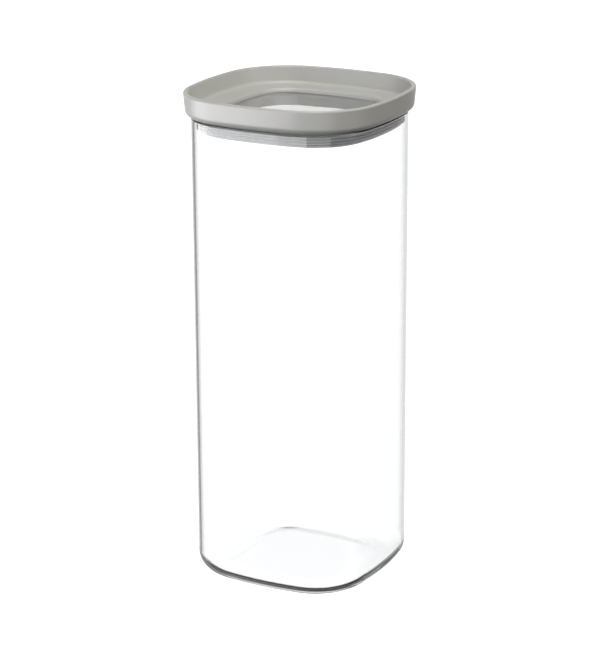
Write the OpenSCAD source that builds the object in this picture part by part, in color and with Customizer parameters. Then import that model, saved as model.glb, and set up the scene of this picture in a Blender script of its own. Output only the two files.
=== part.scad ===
// Square glass storage canister with a plug-in lid.
//
// A tall glass jar with softly bulging sides is closed by a lid of four pieces: a grey frame whose
// raised rim takes the base of another canister, a clear window, a stopper ring that reaches into
// the jar's mouth, and a soft ribbed seal round the stopper. The lid lifts straight off.
//
// Every piece follows one outline: four shallow arcs joined by four corner arcs. All outlines are
// parallel to each other, so each piece is drawn as a section, with the half width across the flats
// to the right and the height upwards, and is then taken round the outline.

/* [Canister] */
// Height of the glass jar from its base to its lip
jar_height = 260; // [120:1:320]
// Width of the glass jar across its flats
jar_width = 107; // [89:0.5:130]
// How far the lid stands out past the jar all round
lid_overhang = 4; // [3:0.25:6]
// Height of the lid above the jar's lip
lid_height = 13; // [12:0.25:16]

/* [Outline] */
// Distance of each corner's centre from both middle planes
corner_offset = 18; // [12:0.5:22]
// How far each side bulges out between the corners
side_bulge = 1.2; // [0.6:0.1:2.5]

/* [Glass jar] */
// Thickness of the glass wall
glass_wall = 2.5; // [2:0.1:3.5]
// Thickness of the glass base
base_thick = 3; // [2.5:0.25:6]
// Outer radius between the base and the walls
base_edge_r = 10; // [7:0.5:14]
// Width of the bearing ring that the jar stands on
bearing_ring = 6; // [4:0.5:8]
// Rise of the hollow inside the bearing ring
push_up = 0.4; // [0.2:0.1:1]
// Width of the slope between the bearing ring and the raised middle
push_slope = 6; // [3:0.5:7]

/* [Lid frame] */
// Thickness of the rim at its top
rim_wall = 2.6; // [2:0.1:3.5]
// Radius of the rim's top edges
rim_edge_r = 0.9; // [0.5:0.05:0.95]
// Depth of the stacking recess below the rim
recess_depth = 9.3; // [7:0.1:9.5]
// Draft of the rim's outer face, in degrees
outer_draft = 5; // [1:0.5:7]
// Draft of the rim's inner face, in degrees
inner_draft = 12; // [5:0.5:14]
// Radius under the frame's outer edge
under_r = 3.7; // [2:0.1:4.5]
// Radius between the rim and the recess floor
recess_r = 2; // [1:0.1:3]
// Width of the frame, from its outer face to the window opening
frame_width = 19; // [17:0.5:22]
// Radius of the rounded edge round the window opening
opening_r = 2; // [1:0.1:2.2]

/* [Window] */
// Gap between the window and the opening
window_gap = 0.3; // [0.2:0.05:0.5]
// How far the window's top lies below the foot of the rounded edge
window_inset = 0.3; // [0.1:0.05:0.5]
// How far the window's flange reaches under the frame
flange_reach = 1.5; // [1:0.1:2]
// Thickness of the flange
flange_thick = 1; // [0.8:0.1:1.5]
// Bevel of the window's top edge
window_bevel = 0.25; // [0.1:0.05:0.4]

/* [Stopper] */
// How far the stopper reaches below the frame
stopper_depth = 8; // [7:0.25:12]
// Thickness of the stopper's outer wall
outer_wall = 3.6; // [3:0.1:4]
// Thickness of the stopper's inner wall
inner_wall = 3.8; // [3.4:0.1:4]
// Thickness of the stopper's underside
stopper_floor = 2; // [1.5:0.1:3]
// Width and height of the slope inside the stopper's top edge
seat_slope = 1.3; // [0.8:0.1:1.4]
// Radius of the stopper's lower edges
stopper_edge_r = 1.2; // [0.6:0.1:1.3]

/* [Seal] */
// Room between the stopper and the glass that the seal's ribs reach across
seal_room = 2; // [1.5:0.1:2.5]
// Height of the seal's band
seal_height = 5; // [4:0.25:5.25]
// Depth of the groove that the band sits in
groove_depth = 1.6; // [1:0.1:1.8]
// Number of ribs
ribs = 3; // [2:1:4]
// Thickness of a rib at its root
rib_root = 0.9; // [0.6:0.1:1]
// Thickness of a rib at its tip
rib_tip = 0.5; // [0.3:0.1:0.6]

/* [Fits] */
// Clearance between the lid and the jar
lid_clearance = 0.3; // [0.25:0.05:0.5]
// Clearance round the window's flange in the stopper's seat
seat_clearance = 0.1; // [0.05:0.05:0.3]

/* [Quality] */
// Facets of a full turn, in preview only
facets = 192; // [96:16:256]

/* [Hidden] */
$fn = facets;

// Steps of a quarter turn in a rounded edge of a section
edge_steps = 6;
// Overlap that joins a round section to the plate in its middle
plate_overlap = 1;

// Outline: how far the centre of a side's arc lies from the line between two corners' centres, and
// half the angle of that arc. Both follow from the arcs meeting without a kink.
side_reach = (corner_offset * corner_offset / side_bulge - side_bulge) / 2;
side_turn = atan(corner_offset / side_reach);
// The side is swept a little too far both ways and then cut where the corner takes over
side_sweep = ceil(side_turn) + 2;
// A point beyond the outline on the line where a side meets a corner
share_end = [corner_offset, corner_offset] + 2 * jar_width * [cos(side_turn), sin(side_turn)];
// Smallest half width that a section may reach in to
core_half = corner_offset + side_bulge + 2;

// Half widths
jar_half = jar_width / 2;
mouth_half = jar_half - glass_wall;
lid_half = jar_half + lid_overhang;
opening_half = lid_half - frame_width;
window_half = opening_half - window_gap;
flange_half = window_half + flange_reach;
stopper_half = mouth_half - seal_room;
seat_half = flange_half + seat_clearance;
band_half = stopper_half - groove_depth;

// Heights
lid_z = jar_height + lid_clearance;
rim_z = lid_z + lid_height;
floor_z = rim_z - recess_depth;
seat_z = lid_z - flange_thick;
stopper_z = lid_z - stopper_depth;
groove_z = stopper_z + (stopper_depth - seal_height) / 2;

// Rim: where its faces leave the rounded top edges, and where they meet the rounds below
outer_start = on_arc([lid_half - rim_edge_r, rim_z - rim_edge_r], rim_edge_r, -outer_draft);
under_drop = outer_start.y - (lid_z + under_r - under_r * sin(outer_draft));
under_centre = [outer_start.x - under_drop * tan(outer_draft) - under_r * cos(outer_draft), lid_z + under_r];
inner_top = [lid_half - rim_wall + rim_edge_r, rim_z - rim_edge_r];
inner_start = on_arc(inner_top, rim_edge_r, 180 - inner_draft);
inner_drop = inner_start.y - (floor_z + recess_r - recess_r * sin(inner_draft));
recess_x = inner_start.x - inner_drop * tan(inner_draft) - recess_r * cos(inner_draft);
window_z = floor_z - opening_r - window_inset;

// Point of an arc at one angle
function on_arc(centre, r, angle) = centre + r * [cos(angle), sin(angle)];

// Points of an arc from one angle to another, in steps of the same size as on every other edge
function arc(centre, r, from, to) =
    let (steps = max(2, ceil(abs(to - from) / 90 * edge_steps)))
    [for (i = [0:steps]) on_arc(centre, r, from + (to - from) * i / steps)];

// Cuts what it is given down to one side's share of the outline
module side_share() {
    intersection() {
        children();
        translate([0, 0, -1])
            linear_extrude(rim_z + 2)
                polygon([
                    [corner_offset, -corner_offset],
                    [share_end.x, -share_end.y],
                    share_end,
                    [corner_offset, corner_offset]
                ]);
    }
}

// Cuts what it is given down to one corner's share of the outline
module corner_share() {
    intersection() {
        children();
        translate([0, 0, -1])
            linear_extrude(rim_z + 2)
                polygon([
                    [corner_offset, corner_offset],
                    share_end,
                    [share_end.x, share_end.x],
                    [share_end.y, share_end.x]
                ]);
    }
}

// Takes a section round the outline: x is the half width across the flats, y is the height
module around() {
    for (quarter = [0:3])
        rotate([0, 0, 90 * quarter]) {
            side_share()
                translate([corner_offset - side_reach, 0, 0])
                    rotate_extrude(angle = 2 * side_sweep, start = -side_sweep)
                        translate([side_reach - corner_offset, 0])
                            children();
            corner_share()
                translate([corner_offset, corner_offset, 0])
                    rotate_extrude(angle = 90, start = 0)
                        translate([-corner_offset - side_bulge, 0])
                            children();
        }
}

// Square plate that closes the middle of a section that starts at core_half
module middle_plate(z, thick) {
    side = 2 * (core_half + plate_overlap);
    translate([-side / 2, -side / 2, z])
        cube([side, side, thick]);
}

module glass_jar() {
    lip_r = glass_wall / 2;
    inner_edge_r = base_edge_r - glass_wall;
    stand_half = jar_half - base_edge_r;
    ring_half = stand_half - bearing_ring;
    color([0.86, 0.93, 0.93, 0.35]) {
        around()
            polygon(concat(
                [[core_half, push_up], [ring_half - push_slope, push_up], [ring_half, 0]],
                arc([stand_half, base_edge_r], base_edge_r, -90, 0),
                arc([jar_half - lip_r, jar_height - lip_r], lip_r, 0, 180),
                arc([mouth_half - inner_edge_r, base_thick + inner_edge_r], inner_edge_r, 0, -90),
                [[core_half, base_thick]]
            ));
        middle_plate(push_up, base_thick - push_up);
    }
}

module lid_frame() {
    color([0.79, 0.78, 0.76])
        around()
            polygon(concat(
                [[opening_half, lid_z]],
                arc(under_centre, under_r, -90, -outer_draft),
                arc([lid_half - rim_edge_r, rim_z - rim_edge_r], rim_edge_r, -outer_draft, 90),
                arc(inner_top, rim_edge_r, 90, 180 - inner_draft),
                arc([recess_x, floor_z + recess_r], recess_r, -inner_draft, -90),
                arc([opening_half + opening_r, floor_z - opening_r], opening_r, 90, 180)
            ));
}

module window() {
    color([0.9, 0.95, 0.96, 0.3]) {
        around()
            polygon([
                [core_half, seat_z],
                [flange_half, seat_z],
                [flange_half, lid_z],
                [window_half, lid_z],
                [window_half, window_z - window_bevel],
                [window_half - window_bevel, window_z],
                [core_half, window_z]
            ]);
        middle_plate(seat_z, window_z - seat_z);
    }
}

module stopper() {
    channel_in = window_half + inner_wall;
    channel_out = stopper_half - outer_wall;
    channel_z = stopper_z + stopper_floor;
    color([0.62, 0.62, 0.61])
        around()
            polygon(concat(
                arc([window_half + stopper_edge_r, stopper_z + stopper_edge_r], stopper_edge_r, 180, 270),
                arc([stopper_half - stopper_edge_r, stopper_z + stopper_edge_r], stopper_edge_r, -90, 0),
                [
                    [stopper_half, groove_z],
                    [band_half, groove_z],
                    [band_half, groove_z + seal_height],
                    [stopper_half, groove_z + seal_height],
                    [stopper_half, lid_z],
                    [channel_out, lid_z],
                    [channel_out, channel_z],
                    [channel_in, channel_z],
                    [channel_in, lid_z],
                    [seat_half, lid_z],
                    [seat_half, seat_z],
                    [window_half + seat_slope, seat_z],
                    [window_half, seat_z - seat_slope]
                ]
            ));
}

module seal() {
    skin_half = stopper_half;
    tip_half = mouth_half - lid_clearance;
    pitch = seal_height / ribs;
    color([0.55, 0.56, 0.57])
        around()
            polygon(concat(
                [[band_half, groove_z + seal_height], [band_half, groove_z]],
                [for (i = [0:ribs - 1])
                    let (z = groove_z + pitch * (i + 0.5))
                    each [
                        [skin_half, z - rib_root / 2],
                        [tip_half, z + rib_root / 2 - rib_tip],
                        [tip_half, z + rib_root / 2],
                        [skin_half, z + rib_root / 2]
                    ]],
                [[skin_half, groove_z + seal_height]]
            ));
}

glass_jar();
lid_frame();
window();
stopper();
seal();
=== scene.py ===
"""A lidded glass canister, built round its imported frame.

The jar is one tall glass vessel with a squared outline. Its lid is a rigid rim round a clear window,
over a hollow stopper that carries a soft ribbed seal. Lengths are in metres, Z is up and the base
stands on Z = 0.
"""

import logging
import math
from collections.abc import Mapping, Sequence
from dataclasses import dataclass
from enum import Enum
from typing import Any

import bpy
import numpy as np
from mathutils import Matrix, Vector


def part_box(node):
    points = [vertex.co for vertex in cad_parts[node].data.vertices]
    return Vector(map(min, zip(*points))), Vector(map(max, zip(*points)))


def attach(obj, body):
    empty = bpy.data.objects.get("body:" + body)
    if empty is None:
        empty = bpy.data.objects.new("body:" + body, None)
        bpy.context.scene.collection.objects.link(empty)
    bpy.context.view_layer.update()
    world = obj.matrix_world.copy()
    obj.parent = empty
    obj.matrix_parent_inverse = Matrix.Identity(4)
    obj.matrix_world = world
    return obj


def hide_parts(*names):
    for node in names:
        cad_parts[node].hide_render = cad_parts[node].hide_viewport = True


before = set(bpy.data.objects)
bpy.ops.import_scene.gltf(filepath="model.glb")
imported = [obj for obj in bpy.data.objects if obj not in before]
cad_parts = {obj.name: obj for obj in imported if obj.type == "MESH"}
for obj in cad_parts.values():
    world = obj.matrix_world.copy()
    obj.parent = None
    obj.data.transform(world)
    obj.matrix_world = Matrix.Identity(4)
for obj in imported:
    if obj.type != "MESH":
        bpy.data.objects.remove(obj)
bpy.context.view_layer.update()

LOG = logging.getLogger("canister")
MM = 0.001
# The largest turn between two points of a rounded corner, and the fewest steps that a corner has
ARC_STEP = math.radians(11)
LEAST_STEPS = 3
# How far a holding point lies from a corner's rounding, and the length past which a side has them
HOLD = 0.25 * MM
HELD_LENGTH = 6 * HOLD
# The room that is left where two pieces touch
TOUCH_GAP = 0.02 * MM


class Body(Enum):
    """The parts that move apart from each other."""

    JAR = "jar"
    LID = "lid"


class Slot(Enum):
    """The record's material slots."""

    CLEAR_GLASS = "clear_glass"
    GREY_PLASTIC = "grey_plastic"
    CLEAR_PLASTIC = "clear_plastic"
    STOPPER_PLASTIC = "stopper_plastic"
    SILICONE = "silicone"


# ---------------------------------------------------------------- shapes


@dataclass(frozen=True)
class Corner:
    """A corner of a section: half width across the flats, height, and the radius that rounds it."""

    half: float
    height: float
    radius: float = 0.0

    @property
    def point(self) -> np.ndarray:
        """The corner as a point of the section's plane."""
        return np.array([self.half, self.height])


@dataclass(frozen=True)
class Outline:
    """The squared outline that every piece follows.

    Four shallow side arcs meet four corner arcs without a kink. Outlines of different half widths are
    parallel, so each is the same set of rays, followed further out.
    """

    corner_offset: float = 18 * MM
    side_bulge: float = 1.2 * MM
    least_round: float = 2 * MM
    side_steps: int = 10
    corner_steps: int = 24

    @property
    def core(self) -> float:
        """The half width of the smallest ring that isn't scaled, whose corners have the least radius."""
        return self.corner_offset + self.side_bulge + self.least_round

    def rays(self) -> tuple[np.ndarray, np.ndarray]:
        """The rays that a section is carried along.

        On a side the anchor is (c - X + (X - c) cos a, (X - c) sin a), and on a corner it is
        (c - (c + k) cos a, c - (c + k) sin a), where a is the ray's angle, c the corner's offset, k the
        side's bulge and X = (c^2 / k - k) / 2 how far the side's centre lies beyond the corners'
        centres. Each quarter is the one before it, turned by 90 degrees.

        Returns:
            Where each ray starts and which way it points, as two arrays of plane vectors.
        """
        offset, bulge = self.corner_offset, self.side_bulge
        reach = (offset * offset / bulge - bulge) / 2
        turn = math.atan(offset / reach)
        side = np.linspace(-turn, turn, self.side_steps, endpoint=False)
        corner = np.linspace(turn, math.pi / 2 - turn, self.corner_steps, endpoint=False)
        angles = np.concatenate([side, corner])
        ways = np.stack([np.cos(angles), np.sin(angles)], axis=1)
        on_side = np.array([offset - reach, 0.0]) + (reach - offset) * ways
        on_corner = offset - (offset + bulge) * ways
        first = np.where((np.arange(len(angles)) < self.side_steps)[:, None], on_side, on_corner)
        quarter = np.array([[0.0, 1.0], [-1.0, 0.0]])
        turns = [np.linalg.matrix_power(quarter, i) for i in range(4)]
        return np.concatenate([first @ t for t in turns]), np.concatenate([ways @ t for t in turns])


@dataclass
class Surface:
    """A mesh in arrays: points, faces as rows of point numbers, and a map place for each face corner."""

    points: np.ndarray
    quads: np.ndarray
    triangles: np.ndarray
    places: np.ndarray

    def make(self, name: str) -> bpy.types.Object:
        """Put the surface into the scene.

        Args:
            name: The piece's name.

        Returns:
            The new object, at the origin and shaded smooth.
        """
        mesh = bpy.data.meshes.new(name)
        mesh.from_pydata(self.points.tolist(), [], self.quads.tolist() + self.triangles.tolist())
        mesh.uv_layers.new(name="surface").data.foreach_set("uv", self.places.ravel())
        mesh.polygons.foreach_set("use_smooth", np.ones(len(mesh.polygons), bool))
        mesh.update()
        mesh.validate()
        piece = bpy.data.objects.new(name, mesh)
        bpy.context.scene.collection.objects.link(piece)
        return piece


def rounded(corners: Sequence[Corner], closed: bool) -> np.ndarray:
    """Walk along a section whose corners are rounded.

    Each corner becomes an arc of its radius r, tangent to both sides: its centre is r / sin(w) along
    the bisector and its ends are r / tan(w) along the sides, w being half the corner's angle. A
    holding point follows each arc along its side, so that flat faces are shaded flat.

    Args:
        corners: The corners in order, anticlockwise with the half width to the right.
        closed: Whether the last corner joins the first.

    Returns:
        The section's points, one row each.
    """
    runs = []
    for i, corner in enumerate(corners):
        here = corner.point
        if corner.radius <= 0:
            runs.append(here[None])
            continue
        back = corners[i - 1].point - here
        ahead = corners[(i + 1) % len(corners)].point - here
        back, ahead = back / np.linalg.norm(back), ahead / np.linalg.norm(ahead)
        half_angle = math.acos(float(np.clip(back @ ahead, -1, 1))) / 2
        middle = (back + ahead) / np.linalg.norm(back + ahead)
        centre = here + middle * corner.radius / math.sin(half_angle)
        ends = here + np.array([back, ahead]) * corner.radius / math.tan(half_angle) - centre
        first, last = np.arctan2(ends[:, 1], ends[:, 0])
        sweep = (last - first + math.pi) % math.tau - math.pi
        steps = max(LEAST_STEPS, math.ceil(abs(sweep) / ARC_STEP))
        angles = first + sweep * np.linspace(0, 1, steps + 1)
        runs.append(centre + corner.radius * np.stack([np.cos(angles), np.sin(angles)], axis=1))
    held = []
    for i, run in enumerate(runs):
        held.append(run)
        if i + 1 == len(runs) and not closed:
            break
        start, end = run[-1], runs[(i + 1) % len(runs)][0]
        length = float(np.linalg.norm(end - start))
        if length > HELD_LENGTH:
            share = HOLD / length
            held.append(start + np.array([[share], [1 - share]]) * (end - start))
    return np.concatenate(held)


def carried(outline: Outline, section: np.ndarray, closed: bool) -> Surface:
    """Carry a section round the outline.

    The point of half width h and height z on a ray goes to (anchor + h * direction, z). Below the
    outline's core the core's own ring is drawn in towards the axis instead, by h / core. An open
    section starts and ends on the axis, where its ring is a single point.

    Args:
        outline: The outline to follow.
        section: The section's points, anticlockwise with the half width to the right.
        closed: Whether the section closes on itself.

    Returns:
        The closed surface, its faces outwards.
    """
    # One ring of points for each point of the section
    anchors, ways = outline.rays()
    around = len(anchors)
    half, height = section.T
    reach = np.maximum(half, outline.core)
    plan = (anchors + reach[:, None, None] * ways) * (half / reach)[:, None, None]
    rings = np.concatenate([plan, np.broadcast_to(height[:, None, None], plan.shape[:2] + (1,))], axis=2)

    # Map places: lengths along the widest ring and along the section
    widest = plan[int(np.argmax(half))]
    steps = np.linalg.norm(np.roll(widest, -1, axis=0) - widest, axis=1)
    along_u = np.concatenate([[0.0], np.cumsum(steps)])
    closed_section = np.vstack([section, section[:1]]) if closed else section
    along_v = np.concatenate([[0.0], np.cumsum(np.linalg.norm(np.diff(closed_section, axis=0), axis=1))])

    # Faces between neighbouring rings
    last = len(section) - 1
    rows = np.arange(last + 1) if closed else np.arange(1, last - 1)
    row, column = np.meshgrid(rows, np.arange(around), indexing="ij")
    row, column = row.ravel(), column.ravel()
    next_row, next_column = (row + 1) % (last + 1), (column + 1) % around
    shift = 0 if closed else 1

    def number(r: np.ndarray, c: np.ndarray) -> np.ndarray:
        """The number of the point in ring r, column c."""
        return (r - shift) * around + c

    quads = np.stack([number(row, column), number(row, next_column),
                      number(next_row, next_column), number(next_row, column)], axis=1)
    u, v = along_u[column], along_v[row]
    u_next, v_next = along_u[column + 1], along_v[row + 1]
    places = np.stack([u, v, u_next, v, u_next, v_next, u, v_next], axis=1).reshape(-1, 2)
    if closed:
        return Surface(rings.reshape(-1, 3), quads, np.empty((0, 3), int), places)

    # A point on the axis at each end, and the fan of triangles that joins it to the nearest ring
    points = np.vstack([rings[1:-1].reshape(-1, 3), [0, 0, height[0]], [0, 0, height[-1]]])
    spot = np.arange(around)
    beside = (spot + 1) % around
    low, high = len(points) - 2, len(points) - 1
    end_row = number(np.full(around, last - 1), spot)
    floor_fan = np.stack([np.full(around, low), beside, spot], axis=1)
    top_fan = np.stack([end_row, number(np.full(around, last - 1), beside), np.full(around, high)], axis=1)
    u, u_next = along_u[:-1], along_u[1:]
    middle = (u + u_next) / 2
    low_places = np.stack([middle, 0 * u, u_next, 0 * u + along_v[1], u, 0 * u + along_v[1]], axis=1)
    high_places = np.stack([u, 0 * u + along_v[-2], u_next, 0 * u + along_v[-2],
                            middle, 0 * u + along_v[-1]], axis=1)
    places = np.vstack([places, low_places.reshape(-1, 2), high_places.reshape(-1, 2)])
    return Surface(points, quads, np.vstack([floor_fan, top_fan]), places)


# ---------------------------------------------------------------- finishes


class Value:
    """A shader's number that takes part in Python expressions."""

    def __init__(self, graph: "Graph", socket: bpy.types.NodeSocket) -> None:
        """Keep the socket and the graph that it is in."""
        self.graph = graph
        self.socket = socket

    def _maths(self, operation: str, first: Any, second: Any) -> "Value":
        """A Math node on two values."""
        made = self.graph.node("ShaderNodeMath", {"operation": operation}, {0: first, 1: second})
        return Value(self.graph, made.outputs[0])

    def clamped(self) -> "Value":
        """self, held between 0 and 1."""
        return Value(self.graph, self.graph.node("ShaderNodeClamp", {}, {0: self}).outputs[0])

    def root(self) -> "Value":
        """The square root of self."""
        return self._maths("POWER", self, 0.5)

    def faded(self, start: float, end: float) -> "Value":
        """0 up to start, 1 from end, and a smooth step between them."""
        made = self.graph.node("ShaderNodeMapRange", {"interpolation_type": "SMOOTHSTEP"},
                               {"Value": self, "From Min": start, "From Max": end})
        return Value(self.graph, made.outputs[0])

    def __add__(self, other: Any) -> "Value":
        """self + other."""
        return self._maths("ADD", self, other)

    def __radd__(self, other: Any) -> "Value":
        """other + self."""
        return self._maths("ADD", other, self)

    def __sub__(self, other: Any) -> "Value":
        """self - other."""
        return self._maths("SUBTRACT", self, other)

    def __rsub__(self, other: Any) -> "Value":
        """other - self."""
        return self._maths("SUBTRACT", other, self)

    def __mul__(self, other: Any) -> "Value":
        """self * other."""
        return self._maths("MULTIPLY", self, other)

    def __rmul__(self, other: Any) -> "Value":
        """other * self."""
        return self._maths("MULTIPLY", other, self)

    def __truediv__(self, other: Any) -> "Value":
        """self / other."""
        return self._maths("DIVIDE", self, other)

    def __rtruediv__(self, other: Any) -> "Value":
        """other / self."""
        return self._maths("DIVIDE", other, self)


class Graph:
    """A node tree that is filled in with plain calls."""

    def __init__(self, tree: bpy.types.NodeTree) -> None:
        """Empty the tree and keep it."""
        tree.nodes.clear()
        self.tree = tree

    def node(self, kind: str, settings: Mapping[str, Any] | None = None,
             inputs: Mapping[Any, Any] | None = None) -> bpy.types.Node:
        """Add a node.

        Args:
            kind: The node's type.
            settings: Its properties, set before anything else.
            inputs: Its sockets, by name or number, each with a value, a Value or another socket.

        Returns:
            The new node.
        """
        made = self.tree.nodes.new(kind)
        for name, setting in (settings or {}).items():
            setattr(made, name, setting)
        for key, given in (inputs or {}).items():
            source = given.socket if isinstance(given, Value) else given
            if isinstance(source, bpy.types.NodeSocket):
                self.tree.links.new(source, made.inputs[key])
            else:
                made.inputs[key].default_value = source
        return made

    def noise(self, size: float, detail: float = 2.0, stretch: Sequence[float] = (1, 1, 1)) -> Value:
        """Noise on the piece's own coordinates.

        Args:
            size: The size of its patches, in metres.
            detail: How many finer layers it has.
            stretch: How much longer the patches are along each axis.

        Returns:
            Its value, about 0.5 on average.
        """
        place = self.node("ShaderNodeTexCoord").outputs["Object"]
        scale = tuple(1 / (size * s) for s in stretch)
        mapped = self.node("ShaderNodeMapping", {}, {"Vector": place, "Scale": scale}).outputs[0]
        made = self.node("ShaderNodeTexNoise", {}, {"Vector": mapped, "Scale": 1.0, "Detail": detail})
        return Value(self, made.outputs["Fac"])

    def mixed(self, share: Value, first: Sequence[float], second: Sequence[float]) -> bpy.types.NodeSocket:
        """A colour that goes from the first to the second with share.

        Args:
            share: How much of the second there is, from 0 to 1.
            first: The first colour, in linear light.
            second: The second colour.

        Returns:
            The mixed colour. The node's colours are its sockets 6 and 7, and its third output.
        """
        colours = {0: share, 6: (*first, 1), 7: (*second, 1)}
        return self.node("ShaderNodeMix", {"data_type": "RGBA"}, colours).outputs[2]

    def bump(self, height: Value, depth: float) -> bpy.types.NodeSocket:
        """A normal from a height of 0 to 1 that stands for depth metres."""
        return self.node("ShaderNodeBump", {}, {"Height": height, "Distance": depth}).outputs[0]


def srgb(red: float, green: float, blue: float) -> tuple[float, float, float]:
    """A colour given in 0 to 255 as the screen shows it, in linear light by the standard sRGB curve."""
    parts = [c / 255 for c in (red, green, blue)]
    return tuple(c / 12.92 if c <= 0.04045 else ((c + 0.055) / 1.055) ** 2.4 for c in parts)


@dataclass(frozen=True)
class Finish:
    """What every finish has: its name and the colour that it mostly is."""

    name: str
    colour: tuple[float, float, float]

    def material(self) -> bpy.types.Material:
        """Make the material.

        Returns:
            A new material with the finish's shader, in the finish's name.
        """
        made = bpy.data.materials.new(self.name)
        made.use_nodes = True
        made.diffuse_color = (*self.colour, 1)
        graph = Graph(made.node_tree)
        surface = self.surface(graph)
        graph.node("ShaderNodeOutputMaterial", {}, {"Surface": surface})
        return made

    def surface(self, graph: Graph) -> bpy.types.NodeSocket:
        """The shader, which each kind of finish makes in its own way."""
        raise NotImplementedError


@dataclass(frozen=True)
class ClearFinish(Finish):
    """Glass or clear plastic: it bends light, lets lamps through and is very slightly wavy."""

    ior: float = 1.5
    roughness: float = 0.0
    smudge: float = 0.01
    smudge_size: float = 18 * MM
    smudge_detail: float = 3.0
    wave_size: float = 45 * MM
    wave_detail: float = 1.0
    wave_stretch: tuple[float, float, float] = (1, 1, 2.5)
    wave_depth: float = 0.02 * MM

    def surface(self, graph: Graph) -> bpy.types.NodeSocket:
        """Refracting shader with faint waves and smudges, and a clear path for lamps.

        Args:
            graph: The material's nodes.

        Returns:
            The shader: refracting for what is seen, and plainly transparent for shadows.
        """
        waves = graph.noise(self.wave_size, self.wave_detail, self.wave_stretch)
        smudges = graph.noise(self.smudge_size, self.smudge_detail)
        glass = graph.node("ShaderNodeBsdfPrincipled", {}, {
            "Base Color": (*self.colour, 1), "IOR": self.ior, "Transmission Weight": 1.0,
            "Roughness": self.roughness + self.smudge * smudges,
            "Normal": graph.bump(waves, self.wave_depth),
        })
        clear = graph.node("ShaderNodeBsdfTransparent", {}, {"Color": (*self.colour, 1)})
        path = graph.node("ShaderNodeLightPath")
        mix = graph.node("ShaderNodeMixShader", {}, {
            0: path.outputs["Is Shadow Ray"], 1: glass.outputs[0], 2: clear.outputs[0]})
        return mix.outputs[0]


@dataclass(frozen=True)
class MouldedFinish(Finish):
    """Moulded plastic or rubber: a fine matt grain with faint patches of shade and sheen."""

    roughness: float = 0.4
    specular: float = 0.5
    shade_change: float = 0.05
    patch_sheen: float = 0.06
    patch_size: float = 14 * MM
    patch_detail: float = 3.0
    grain_sheen: float = 0.06
    grain_shade: float = 0.4
    grain_size: float = 0.5 * MM
    grain_depth: float = 0.012 * MM

    def surface(self, graph: Graph) -> bpy.types.NodeSocket:
        """Shader with grain and patches.

        The shade goes with patches and grain in the shares 1 - g and g, g being the grain's share of
        the shade. The roughness rises with the patches and wavers with the grain.

        Args:
            graph: The material's nodes.

        Returns:
            The shader.
        """
        patches = graph.noise(self.patch_size, self.patch_detail)
        grain = graph.noise(self.grain_size)
        dark = tuple(c * (1 - self.shade_change) for c in self.colour)
        light = tuple(min(1.0, c * (1 + self.shade_change)) for c in self.colour)
        share = patches * (1 - self.grain_shade) + grain * self.grain_shade
        rough = self.roughness - self.patch_sheen / 2 + patches * self.patch_sheen
        rough = rough + (grain - 0.5) * self.grain_sheen
        shader = graph.node("ShaderNodeBsdfPrincipled", {}, {
            "Base Color": graph.mixed(share, dark, light),
            "Roughness": rough, "Specular IOR Level": self.specular,
            "Normal": graph.bump(grain, self.grain_depth),
        })
        return shader.outputs[0]


# ---------------------------------------------------------------- pieces


@dataclass
class Piece:
    """One finished piece: its name, body, slot, CAD node, surface and finish."""

    name: str
    body: Body
    slot: Slot
    node: str
    surface: Surface
    finish: Finish

    def place(self) -> bpy.types.Object:
        """Make the piece, dress it, tie it to its body and hide its CAD node.

        Returns:
            The finished object.
        """
        made = self.surface.make(self.name)
        made.data.materials.append(self.finish.material())
        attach(made, self.body.value)
        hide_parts(self.node)
        faces = len(made.data.polygons)
        LOG.info("%s: %d faces on body %s for node %s", self.name, faces, self.body.value, self.node)
        return made


def span(node: str) -> tuple[float, float, float]:
    """A CAD node's half width, lowest and highest level."""
    low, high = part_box(node)
    return (high[0] - low[0]) / 2, low[2], high[2]


@dataclass
class Jar:
    """The glass: a foot ring round a slightly raised base, straight walls and a round lip."""

    outline: Outline
    finish: Finish
    wall: float = 2.5 * MM
    base: float = 3 * MM
    push_up: float = 0.4 * MM
    push_slope: float = 6 * MM
    foot_width: float = 6 * MM
    slope_top_round: float = 60 * MM
    slope_foot_round: float = 30 * MM
    outer_edge: float = 10 * MM
    inner_edge: float = 7.5 * MM
    lip_slack: float = 0.005 * MM

    def build(self) -> list[bpy.types.Object]:
        """Make the jar, from the middle of its underside up its outside and down its inside.

        Returns:
            The jar's one piece.
        """
        half, low, high = span("glass_jar")
        mouth = half - self.wall
        lip = self.wall / 2 - self.lip_slack
        stand = half - self.outer_edge
        ring = stand - self.foot_width
        section = rounded([
            Corner(0, low + self.push_up),
            Corner(ring - self.push_slope, low + self.push_up, self.slope_top_round),
            Corner(ring, low, self.slope_foot_round),
            Corner(half, low, self.outer_edge),
            Corner(half, high, lip),
            Corner(mouth, high, lip),
            Corner(mouth, low + self.base, self.inner_edge),
            Corner(0, low + self.base),
        ], closed=False)
        surface = carried(self.outline, section, closed=False)
        return [Piece("glass_vessel", Body.JAR, Slot.CLEAR_GLASS, "glass_jar", surface, self.finish).place()]


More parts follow.
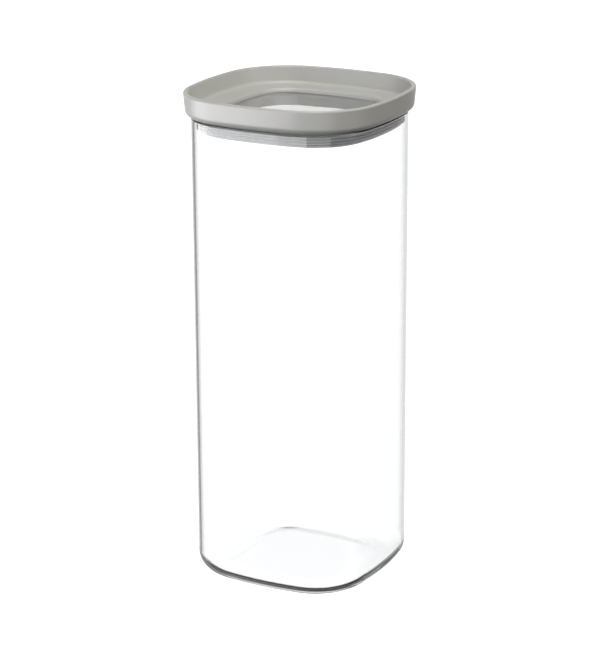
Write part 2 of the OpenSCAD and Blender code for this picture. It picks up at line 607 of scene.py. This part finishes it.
@dataclass
class Lid:
    """The lid: rim frame, window, hollow stopper and seal."""

    outline: Outline
    frame_finish: Finish
    window_finish: Finish
    stopper_finish: Finish
    seal_finish: Finish
    rim_wall: float = 2.6 * MM
    rim_edge: float = 0.9 * MM
    recess_depth: float = 9.3 * MM
    outer_draft: float = math.radians(5)
    inner_draft: float = math.radians(12)
    under_round: float = 3.7 * MM
    recess_round: float = 2 * MM
    frame_width: float = 19 * MM
    opening_round: float = 2 * MM
    flange_reach: float = 1.5 * MM
    flange_thick: float = 1 * MM
    outer_wall: float = 3.6 * MM
    inner_wall: float = 3.8 * MM
    stopper_floor: float = 2 * MM
    seat_slope: float = 1.3 * MM
    stopper_edge: float = 1.2 * MM
    groove_depth: float = 1.6 * MM
    ribs: int = 3
    rib_root: float = 0.9 * MM
    rib_tip: float = 0.5 * MM
    tip_round: float = 0.225 * MM
    fine_round: float = 0.15 * MM
    bore_round: float = 0.2 * MM
    pane_round: float = 0.3 * MM
    seal_round: float = 0.1 * MM
    seat_round: float = 0.05 * MM
    channel_round: float = 0.5 * MM
    flange_gap: float = 0.1 * MM

    def frame_surface(self) -> Surface:
        """The rim frame: a deep rounded hoop with a sunken ledge round the opening.

        The rim's two faces slope by their drafts and are tangent to the round edge on its top, whose
        radius is e: they touch it e cos(draft) out from its centres and e sin(draft) from their level.

        Returns:
            The frame's closed surface.
        """
        half, low, high = span("lid_frame")
        edge = self.rim_edge
        outer = half - edge + edge * math.cos(self.outer_draft)
        outer_level = high - edge - edge * math.sin(self.outer_draft)
        inner_angle = math.pi - self.inner_draft
        inner = half - self.rim_wall + edge + edge * math.cos(inner_angle)
        inner_level = high - edge + edge * math.sin(inner_angle)
        floor = high - self.recess_depth
        opening = half - self.frame_width

        def outer_at(level: float) -> float:
            """The half width of the outer face at a level."""
            return outer + (level - outer_level) * math.tan(self.outer_draft)

        def inner_at(level: float) -> float:
            """The half width of the rim's inner face at a level."""
            return inner + (level - inner_level) * math.tan(self.inner_draft)

        section = rounded([
            Corner(opening, low, self.bore_round),
            Corner(outer_at(low), low, self.under_round),
            Corner(outer_at(high), high, edge),
            Corner(inner_at(high), high, edge),
            Corner(inner_at(floor), floor, self.recess_round),
            Corner(opening, floor, self.opening_round),
        ], closed=True)
        return carried(self.outline, section, closed=True)

    def window_surface(self) -> Surface:
        """The window: a clear plate with a flange that sits in the stopper.

        Returns:
            The window's closed surface.
        """
        flange, low, high = span("window")
        pane = flange - self.flange_reach
        step = low + self.flange_thick - TOUCH_GAP
        section = rounded([
            Corner(0, low + TOUCH_GAP),
            Corner(flange, low + TOUCH_GAP, self.fine_round),
            Corner(flange, step, self.fine_round),
            Corner(pane, step, self.seal_round),
            Corner(pane, high, self.pane_round),
            Corner(0, high),
        ], closed=False)
        return carried(self.outline, section, closed=False)

    def stopper_surface(self) -> Surface:
        """The stopper: a ring with a channel in its top, a seat for the window and a seal groove.

        Returns:
            The stopper's closed surface.
        """
        half, low, high = span("stopper")
        flange, seat, _ = span("window")
        _, groove_low, groove_high = span("seal")
        pane = flange - self.flange_reach
        band = half - self.groove_depth
        channel_in = pane + self.inner_wall
        channel_out = half - self.outer_wall
        floor = low + self.stopper_floor
        top = high - TOUCH_GAP
        flange_seat = flange + self.flange_gap
        small = self.fine_round
        section = rounded([
            Corner(pane, low, self.stopper_edge),
            Corner(half, low, self.stopper_edge),
            Corner(half, groove_low, small),
            Corner(band, groove_low, small),
            Corner(band, groove_high, small),
            Corner(half, groove_high, small),
            Corner(half, top, small),
            Corner(channel_out, top, small),
            Corner(channel_out, floor, self.channel_round),
            Corner(channel_in, floor, self.channel_round),
            Corner(channel_in, top, small),
            Corner(flange_seat, top, small),
            Corner(flange_seat, seat, self.seat_round),
            Corner(pane + self.seat_slope, seat, self.seat_round),
            Corner(pane, seat - self.seat_slope, self.bore_round),
        ], closed=True)
        return carried(self.outline, section, closed=True)

    def seal_surface(self) -> Surface:
        """The seal: a band with upward-leaning ribs whose tips are round.

        Returns:
            The seal's closed surface.
        """
        tip, low, high = span("seal")
        skin = span("stopper")[0]
        band = skin - self.groove_depth + TOUCH_GAP
        pitch = (high - low) / self.ribs
        small = self.seal_round
        corners = [Corner(band, high - TOUCH_GAP, small), Corner(band, low + TOUCH_GAP, small)]
        for i in range(self.ribs):
            level = low + pitch * (i + 0.5)
            under, over = level - self.rib_root / 2, level + self.rib_root / 2
            corners += [
                Corner(skin, under, small),
                Corner(tip, over - self.rib_tip, self.tip_round),
                Corner(tip, over, self.tip_round),
                Corner(skin, over, small),
            ]
        corners.append(Corner(skin, high - TOUCH_GAP, small))
        return carried(self.outline, rounded(corners, closed=True), closed=True)

    def build(self) -> list[bpy.types.Object]:
        """Make the lid's four pieces.

        Returns:
            The frame, the window, the stopper and the seal.
        """
        parts = [
            Piece("lid_rim_frame", Body.LID, Slot.GREY_PLASTIC, "lid_frame", self.frame_surface(),
                  self.frame_finish),
            Piece("lid_window", Body.LID, Slot.CLEAR_PLASTIC, "window", self.window_surface(),
                  self.window_finish),
            Piece("hollow_stopper", Body.LID, Slot.STOPPER_PLASTIC, "stopper", self.stopper_surface(),
                  self.stopper_finish),
            Piece("ribbed_seal", Body.LID, Slot.SILICONE, "seal", self.seal_surface(), self.seal_finish),
        ]
        return [part.place() for part in parts]


# ---------------------------------------------------------------- studio


@dataclass(frozen=True)
class Lobe:
    """A sector of the surround that is brighter or darker than the rest, fading out on both sides.

    Attributes:
        azimuth: The way that one looks in plan, in degrees anticlockwise from the X axis.
        inner: How far from its middle the sector has its full strength, in degrees.
        outer: How far from its middle the sector ends, in degrees.
        change: What it adds to the brightness.
    """

    azimuth: float
    inner: float
    outer: float
    change: float

    def strength(self, x: Value, y: Value) -> Value:
        """How much the sector adds to the light.

        The nearness of a way to the sector's middle is the cosine of the angle between them. It fades
        in from the cosine of the sector's end to the cosine of its full strength.

        Args:
            x: The level way's share along X.
            y: The level way's share along Y.

        Returns:
            What is added to the brightness.
        """
        turn = math.radians(self.azimuth)
        nearness = x * math.cos(turn) + y * math.sin(turn)
        limits = [math.cos(math.radians(width)) for width in (self.outer, self.inner)]
        return nearness.faded(*limits) * self.change


@dataclass(frozen=True)
class Surround:
    """The light from all round: pale from below and level ways, and dark from above.

    Light that has been mirrored inside glass is dimmer, and that is what draws the glass's outlines.

    Attributes:
        straight: The brightness of the pale part where it is seen straight or through glass.
        gloss: Its brightness in reflections from outer faces.
        mirrored: Its brightness in light that has been mirrored inside glass.
        below: What that light fades to when it comes from steeply below.
        soft: The brightness for matt surfaces, which the lamps light instead.
        overhead: The brightness of the dark part.
        lobes: Sectors that change the light that has been mirrored inside glass.
        gloss_lobes: Sectors that change the reflections from outer faces.
        fade_from: The sine of the elevation where the pale part starts to darken.
        fade_to: The sine of the elevation where the dark part starts.
        shade_from: The sine of the elevation where mirrored light starts to fade.
        shade_to: The sine of the elevation where it has faded.
    """

    straight: float = 1.35
    gloss: float = 1.0
    mirrored: float = 0.82
    below: float = 0.0
    soft: float = 0.06
    overhead: float = 0.05
    lobes: tuple[Lobe, ...] = ()
    gloss_lobes: tuple[Lobe, ...] = ()
    fade_from: float = math.sin(math.radians(6))
    fade_to: float = math.sin(math.radians(16))
    shade_from: float = math.sin(math.radians(-24))
    shade_to: float = math.sin(math.radians(-42))

    def build(self) -> None:
        """Make the world's light.

        The way that a ray goes is (x, y, z), and its level part is divided by sqrt(1 - z^2) for the
        lobes. The glossy and the transmission depth, each held to 1, tell outer reflections and light
        mirrored inside glass from light that is seen straight.
        """
        world = bpy.data.worlds.new("surround")
        bpy.context.scene.world = world
        world.use_nodes = True
        graph = Graph(world.node_tree)
        way = graph.node("ShaderNodeTexCoord").outputs["Generated"]
        x, y, z = (Value(graph, part) for part in graph.node("ShaderNodeSeparateXYZ", {}, {0: way}).outputs)
        level = (1 - z * z).root()
        x, y = x / level, y / level
        path = graph.node("ShaderNodeLightPath").outputs
        once = Value(graph, path["Glossy Depth"]).clamped()
        inside = Value(graph, path["Transmission Depth"]).clamped()
        soft = Value(graph, path["Is Diffuse Ray"])
        dim = self.mirrored + sum((lobe.strength(x, y) for lobe in self.lobes), 0.0)
        dim = dim + z.faded(self.shade_from, self.shade_to) * (self.below - dim)
        gloss = self.gloss + sum((lobe.strength(x, y) for lobe in self.gloss_lobes), 0.0)
        low = self.straight + once * (gloss - self.straight + inside * (dim - gloss))
        low = low + soft * (self.soft - low)
        strength = low + z.faded(self.fade_from, self.fade_to) * (self.overhead - low)
        shader = graph.node("ShaderNodeBackground", {}, {"Color": (1, 1, 1, 1), "Strength": strength})
        graph.node("ShaderNodeOutputWorld", {}, {"Surface": shader.outputs[0]})


@dataclass(frozen=True)
class Panel:
    """A soft lamp: a glowing rectangle that is seen in reflections but never directly.

    Attributes:
        name: The lamp's name.
        azimuth: Where it stands, in degrees from the canister's front, positive to the right.
        distance: How far it stands from the canister's axis.
        level: The level of its middle.
        width: Its width.
        height: Its height.
        brightness: How bright its face is.
        colour: The colour of its light.
        aim: The level on the axis that it faces, which is its own unless it is given.
        lights: Whether it lights matt surfaces too, and isn't only seen in reflections.
    """

    name: str
    azimuth: float
    distance: float
    level: float
    width: float
    height: float
    brightness: float
    colour: tuple[float, float, float] = (1.0, 1.0, 1.0)
    aim: float | None = None
    lights: bool = True

    def hang(self) -> None:
        """Put the lamp into the scene, with its face's brightness times pi times its area as its power."""
        lamp = bpy.data.lights.new(self.name, "AREA")
        lamp.shape = "RECTANGLE"
        lamp.size, lamp.size_y = self.width, self.height
        lamp.energy = self.brightness * math.pi * self.width * self.height
        lamp.color = self.colour
        made = bpy.data.objects.new(self.name, lamp)
        bpy.context.scene.collection.objects.link(made)
        turn = math.radians(self.azimuth)
        place = Vector((math.sin(turn) * self.distance, -math.cos(turn) * self.distance, self.level))
        aim = Vector((0, 0, self.level if self.aim is None else self.aim))
        look = (aim - place).to_track_quat("-Z", "Y").to_matrix().to_4x4()
        made.matrix_world = Matrix.Translation(place) @ look
        made.visible_camera = False
        made.visible_diffuse = self.lights
        made.visible_transmission = False


@dataclass
class Studio:
    """A pale floor under soft light, and the camera, whose azimuth is counted as a lamp's is."""

    surround: Surround
    panels: list[Panel]
    floor_size: float = 8.0
    floor_colour: tuple[float, float, float] = (0.2, 0.2, 0.2)
    floor_glow: float = 1.3
    azimuth: float = math.radians(27.852)
    elevation: float = math.radians(17.575)
    roll: float = math.radians(-0.265)
    distance: float = 1.283
    aim_height: float = 136.65 * MM
    aim_left: float = 0.746 * MM
    lens: float = 126.25
    sensor: float = 36.0
    nearest: float = 0.01
    furthest: float = 50.0
    bounces: int = 24
    glossy_bounces: int = 12

    def lay_floor(self) -> None:
        """A wide plain floor that glows about as the surround does and isn't seen by way of the glass."""
        side = self.floor_size / 2
        mesh = bpy.data.meshes.new("floor")
        mesh.from_pydata([(-side, -side, 0), (side, -side, 0), (side, side, 0), (-side, side, 0)], [],
                         [(0, 1, 2, 3)])
        floor = bpy.data.objects.new("floor", mesh)
        bpy.context.scene.collection.objects.link(floor)
        made = bpy.data.materials.new("floor_paint")
        made.use_nodes = True
        graph = Graph(made.node_tree)
        paint = graph.node("ShaderNodeBsdfDiffuse", {}, {"Color": (*self.floor_colour, 1)})
        glow = graph.node("ShaderNodeEmission", {}, {"Strength": self.floor_glow})
        both = graph.node("ShaderNodeAddShader", {}, {0: paint.outputs[0], 1: glow.outputs[0]})
        graph.node("ShaderNodeOutputMaterial", {}, {"Surface": both.outputs[0]})
        mesh.materials.append(made)
        floor.visible_diffuse = floor.visible_glossy = floor.visible_transmission = False

    def light(self) -> None:
        """The surround and the soft lamps."""
        self.surround.build()
        for panel in self.panels:
            panel.hang()

    def set_camera(self) -> None:
        """Stand the camera at its distance along its azimuth and elevation, and turn it by its roll.

        It looks at a point of the canister's axis that is moved to the left of the picture by aim_left.
        """
        level, steep = math.cos(self.elevation), math.sin(self.elevation)
        back = Vector((math.sin(self.azimuth) * level, -math.cos(self.azimuth) * level, steep))
        right = Vector((math.cos(self.azimuth), math.sin(self.azimuth), 0))
        up = back.cross(right)
        aim = Vector((0, 0, self.aim_height)) - right * self.aim_left
        turned = right * math.cos(self.roll) + up * math.sin(self.roll)
        axes = Matrix((turned, back.cross(turned), back)).transposed().to_4x4()
        camera = bpy.data.cameras.new("camera")
        camera.sensor_fit = "VERTICAL"
        camera.sensor_height = self.sensor
        camera.lens = self.lens
        camera.clip_start, camera.clip_end = self.nearest, self.furthest
        stand = bpy.data.objects.new("camera", camera)
        stand.matrix_world = Matrix.Translation(aim + back * self.distance) @ axes
        bpy.context.scene.collection.objects.link(stand)
        bpy.context.scene.camera = stand

    def settle(self) -> None:
        """Plain colours, and enough bounces for light to get through every wall of glass."""
        scene = bpy.context.scene
        scene.view_settings.view_transform = "Standard"
        scene.cycles.max_bounces = self.bounces
        scene.cycles.transmission_bounces = self.bounces
        scene.cycles.transparent_max_bounces = self.bounces
        scene.cycles.glossy_bounces = self.glossy_bounces

    def build(self) -> None:
        """Set up the floor, the light and the camera."""
        self.lay_floor()
        self.light()
        self.set_camera()
        self.settle()


def surround() -> Surround:
    """The surround, with the sectors that the glass and the lid mirror darker than the rest.

    Returns:
        The surround, not yet built.
    """
    left_outline = Lobe(azimuth=140, inner=3, outer=14, change=-0.8)
    right_outline = Lobe(azimuth=106, inner=3, outer=12, change=-0.25)
    front = Lobe(azimuth=298, inner=40, outer=80, change=-0.78)
    back_right = Lobe(azimuth=50, inner=20, outer=45, change=-0.7)
    return Surround(lobes=(left_outline, right_outline, front), gloss_lobes=(back_right,))


def lamps() -> list[Panel]:
    """The soft lamps and the cards that only reflections show."""
    return [
        Panel("side_softbox", azimuth=-45, distance=0.43, level=0.2, width=0.5, height=0.4,
              brightness=2.3, colour=(0.98, 0.98, 1.06)),
        Panel("left_front_strip", azimuth=-38, distance=0.46, level=0.145, width=1.18, height=0.13,
              brightness=7.0, lights=False),
        Panel("right_front_card", azimuth=34, distance=0.46, level=0.11, width=0.33, height=0.16,
              brightness=2.4, lights=False),
        Panel("right_softbox", azimuth=90, distance=0.5, level=0.6, width=0.5, height=0.4,
              brightness=2.3, colour=(1.03, 1.0, 0.92), aim=0.25),
        Panel("back_softbox", azimuth=-135, distance=0.5, level=0.6, width=0.5, height=0.4,
              brightness=0.35, aim=0.25),
        Panel("high_front_softbox", azimuth=30, distance=0.643, level=0.966, width=0.6, height=0.6,
              brightness=4.75, colour=(0.97, 0.99, 1.05), aim=0.2),
        Panel("top_softbox", azimuth=0, distance=0.001, level=1.2, width=0.6, height=0.6,
              brightness=3.7, aim=0.2),
    ]


def main() -> None:
    """Build the studio and then the canister."""
    logging.basicConfig(level=logging.INFO, format="%(name)s: %(message)s")
    Studio(surround(), lamps()).build()
    outline = Outline()
    glass = ClearFinish("clear_glass", srgb(254, 254.5, 255), ior=1.5)
    pane = ClearFinish("clear_plastic", srgb(254, 254, 254), ior=1.49)
    frame_plastic = MouldedFinish("satin_grey_plastic", srgb(172, 171, 165), roughness=0.32)
    # The stopper is the frame's grey plastic painted darker: its colour holds painted shade for where it
    # sits under the lid, behind the glass.
    stopper_plastic = MouldedFinish("stopper_plastic", srgb(124, 124, 122), roughness=0.45)
    silicone = MouldedFinish("silicone", srgb(131, 132, 133), roughness=0.6)
    pieces = Jar(outline, glass).build()
    pieces += Lid(outline, frame_plastic, pane, stopper_plastic, silicone).build()
    LOG.info("%d pieces built", len(pieces))


if __name__ == "__main__":
    main()
